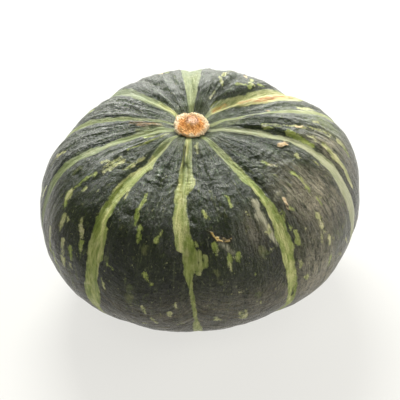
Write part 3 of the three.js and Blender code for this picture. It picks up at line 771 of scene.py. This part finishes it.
# The pale, scuffed and corky parts and the crevices are duller than the rest of the rind.
gloss = crease.between(0.3, 0.7) * 0.1 + 0.18 + low_share * 0.05
gloss = gloss + band * 0.14 + scuffed_and_glinting * 0.15 + cork * 0.3 + crevice_shade * 0.15
finish(wire, base_color=colour, roughness=gloss, normal=bump, specular_ior_level=0.32)
fruit.data.materials.append(rind)
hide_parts("fruit")
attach(fruit, "root")

# The stub of the stem: a dry, corky button that was torn off the vine. Its pale rim is cracked and knobbly,
# and the torn fibres of its core stand up off centre in a sunk orange ring. Painted shade darkens its cracks
# and, in part, the sunk ring.
STUB_GAP = 0.3
STUB_OUTLINE = (
    (0.01, 4.6), (1.4, 5), (2.8, 4.8), (4, 3.9), (5, 2.8), (6.3, 2.7), (7.5, 3.3), (8.6, 3.7),
    (9.6, 3.5), (10.2, 2.6), (10.1, 1.7), (9.4, 1), (8, 0), (4.2, 0),
)
STUB_CORE_REACH, STUB_CORE = 6.5, (1, 1.8)
STUB_FORWARD = 0.8
STUB_BREAK = 0.5
STUB_COLUMNS, STUB_ROWS = 220, 150
outline = np.array(STUB_OUTLINE)
run = np.concatenate([[0], np.cumsum(np.linalg.norm(np.diff(outline, axis=0), axis=1))])
steps = np.linspace(0, run[-1], STUB_ROWS)
stub_radius = np.interp(steps, run, outline[:, 0])
stub_height = np.interp(steps, run, outline[:, 1])
soften = np.array([0.25, 0.5, 0.25])
for _ in range(10):
    stub_radius[1:-1] = np.convolve(stub_radius, soften, "valid")
    stub_height[1:-1] = np.convolve(stub_height, soften, "valid")
turn, radius0 = np.meshgrid(np.arange(STUB_COLUMNS) * 2 * np.pi / STUB_COLUMNS, stub_radius)
height0 = np.repeat(stub_height[:, None], STUB_COLUMNS, axis=1)
knobs = 1 + 0.03 * np.sin(2 * turn + 0.6) + 0.03 * np.sin(5 * turn + 1.1) + 0.02 * np.sin(11 * turn)
radius1 = radius0 * knobs
on_top = smooth_step(1.2, 2.4, height0)
off_centre = (1 - smooth_step(0, STUB_CORE_REACH, radius1)) * on_top
sin_turn, cos_turn = np.sin(turn), np.cos(turn)
fibres = noise_field(sin_turn * radius1 / 1.3, cos_turn * radius1 / 1.3, height0 / 3, 4)
crumbs = noise_field(sin_turn * radius1 / 0.9, cos_turn * radius1 / 0.9, height0 / 0.9, 3)
torn = smooth_step(0.5, 3, radius1) * on_top
frontward = smooth_step(-0.1, 0.9, cos_turn)
broken = STUB_BREAK * frontward * smooth_step(4, 9, radius1)
teeth = noise_field(sin_turn * 6, cos_turn * 6, height0 / 6, 2)
lift = 0.24 * np.sin(6 * turn + radius1) * torn + 0.75 * fibres * torn + 0.35 * crumbs * on_top
push = -0.55 + 0.3 * fibres * (1 - on_top) + 0.2 * crumbs + teeth * (0.3 + 1.3 * frontward)
push *= smooth_step(0.2, 0.8, height0) * smooth_step(6, 8.5, radius1)
push += 0.9 * frontward * smooth_step(1.9, 0.7, height0) * smooth_step(6, 8, radius1)
stub_lift = np.maximum(height0 * (1 - broken) + lift, 0)
seat_height = top_point[2]
stub_points = np.stack(
    [
        STEM_AXIS[0] + (radius1 + push) * sin_turn + STUB_CORE[0] * off_centre,
        STEM_AXIS[1] - STUB_FORWARD - (radius1 + push) * cos_turn + STUB_CORE[1] * off_centre,
        seat_height + STUB_GAP + stub_lift,
    ],
    -1,
)
tip = stub_points[0].mean(axis=0)
underside = (STEM_AXIS[0], STEM_AXIS[1] - STUB_FORWARD, seat_height + STUB_GAP)
stub = closed_mesh("stem_button", stub_points, tip, underside)
paint(stub, "from_core", radius1, (0, 0))
paint(stub, "stood", height0, (4.6, 0))
paint(stub, "frontward", frontward, (0, 0))

cork_skin, wire = material("torn_cork")
spot = wire.node("ShaderNodeTexCoord", out="Object")
crumble = even(950, 6, 0.75)
clump = even(420, 4, 0.6)
ring = field("from_core")
rim = (ring + (clump - 0.5) * 7 - field("frontward") * 2.6).between(6.2, 7.8)
core = 1 - (ring + (clump - 0.5) * 3).between(2.8, 4.6)
flesh_tone = crumble.between(0.36, 0.62).mix(srgb(222, 152, 84), srgb(248, 206, 146))
flesh_tone = clump.between(0.54, 0.68).mix(flesh_tone, srgb(238, 190, 96))
rim_tone = crumble.between(0.3, 0.52).mix(srgb(244, 206, 160), srgb(255, 234, 202))
core_tone = crumble.between(0.4, 0.6).mix(srgb(214, 166, 124), srgb(244, 208, 190))
skin_tone = core.mix(rim.mix(flesh_tone, rim_tone), core_tone)
# In the sunk ring round the core the flesh is a deeper orange, partly its own colour and partly painted
# shade under the core.
moat = ring.between(3.2, 4.4) * (1 - (ring + (clump - 0.5) * 3).between(5.4, 6.8))
moat_flesh_and_shade_tone = crumble.between(0.36, 0.6).mix(srgb(186, 104, 40), srgb(232, 164, 86))
skin_tone = (moat * 0.6).mix(skin_tone, moat_flesh_and_shade_tone)
# Painted shade: the cracks, which the bump sinks, are darkened to a deep brown, less on the rim.
crack_shade = even(620, 5, 0.75).between(0.4, 0.34) * (1 - rim * 0.8)
skin_tone = (crack_shade * 0.7).mix(skin_tone, srgb(132, 74, 24))
low_side = field("stood").between(1.6, 0.2)
side_tone = crumble.between(0.4, 0.6).mix(srgb(190, 132, 72), srgb(240, 200, 142))
skin_tone = (low_side * 0.5).mix(skin_tone, side_tone)
crumbled = crumble + clump + crack_shade * -0.8
crumb_bump = wire.node(
    "ShaderNodeBump", {}, {"Strength": 1.0, "Distance": 0.0009, "Height": crumbled}, "Normal"
)
finish(wire, base_color=skin_tone, roughness=crumble * 0.2 + 0.7, normal=crumb_bump, specular_ior_level=0.25)
stub.data.materials.append(cork_skin)
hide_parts("stem_stub")
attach(stub, "root")

# The studio: a plain white floor that runs out of view, with most of its brightness its own, so
# that the squash's shadow on it is faint. Four soft lights stand over and behind the squash, low
# behind it, at its right, and weakly in front, and a dim warm sky fills in from all round.
floor_mesh = bpy.data.meshes.new("floor")
SPAN, FLOOR_GAP = 6, 0.0005
corners = [(-SPAN, -SPAN, 0), (SPAN, -SPAN, 0), (SPAN, SPAN, 0), (-SPAN, SPAN, 0)]
floor_mesh.from_pydata(corners, [], [(0, 1, 2, 3)])
floor = bpy.data.objects.new("floor", floor_mesh)
floor.location.z = -FLOOR_GAP
bpy.context.scene.collection.objects.link(floor)
floor_white, wire = material("floor_white")
FLOOR_GREY, FLOOR_SHINE = (0.15, 0.15, 0.15, 1), (1, 0.99, 0.95, 1)
finish(
    wire, base_color=FLOOR_GREY, roughness=0.9, emission_color=FLOOR_SHINE, emission_strength=0.7
)
floor_mesh.materials.append(floor_white)

middle = Vector((STEM_AXIS[0], STEM_AXIS[1], WIDEST_RING_HEIGHT)) * MM


def soft_light(name, place, size, watts, colour):
    lamp = bpy.data.lights.new(name, "AREA")
    lamp.shape = "RECTANGLE"
    lamp.size, lamp.size_y = size
    lamp.energy, lamp.color = watts, colour
    holder = bpy.data.objects.new(name, lamp)
    holder.location = place
    holder.rotation_euler = (middle - Vector(place)).to_track_quat("-Z", "Y").to_euler()
    bpy.context.scene.collection.objects.link(holder)


soft_light("overhead", (-0.15, 0.76, 0.89), (0.52, 0.3), 25, (1, 1, 0.94))
soft_light("behind", (0.05, 1.4, 0.4), (1.5, 0.45), 21, (1, 1, 0.94))
soft_light("right_side", (1.25, 0.05, 0.5), (0.8, 0.6), 12, (1, 0.97, 0.88))
soft_light("in_front", (-0.3, -1.2, 1.5), (1, 0.8), 9, (1, 0.99, 0.86))
world = bpy.data.worlds.new("studio")
bpy.context.scene.world = world
world.use_nodes = True
sky = world.node_tree.nodes["Background"]
sky.inputs["Color"].default_value = (1, 0.99, 0.88, 1)
sky.inputs["Strength"].default_value = 0.12

# The camera looks down on the front of the squash, as the photograph does. Its angle, roll, lens and
# aim were fitted to the photograph together with the squash's shape.
ELEVATION, ROLL = math.radians(35.29), math.radians(1.02)
DISTANCE, LENS, SENSOR = 0.9, 147.2, 36
AIM_RIGHT, AIM_UP = 0.0054, -0.0072
backward = Vector((0, -math.cos(ELEVATION), math.sin(ELEVATION)))
upward = Vector((0, math.sin(ELEVATION), math.cos(ELEVATION)))
camera_data = bpy.data.cameras.new("camera")
camera_data.lens, camera_data.sensor_width = LENS, SENSOR
camera = bpy.data.objects.new("camera", camera_data)
bpy.context.scene.collection.objects.link(camera)
camera_place = middle + DISTANCE * backward
aim = middle + Vector((AIM_RIGHT, 0, 0)) + AIM_UP * upward
turned_view = (aim - camera_place).to_track_quat("-Z", "Y").to_matrix() @ Matrix.Rotation(ROLL, 3, "Z")
camera.matrix_world = Matrix.LocRotScale(camera_place, turned_view.to_quaternion(), None)
bpy.context.scene.camera = camera
bpy.context.scene.view_settings.view_transform = "Standard"
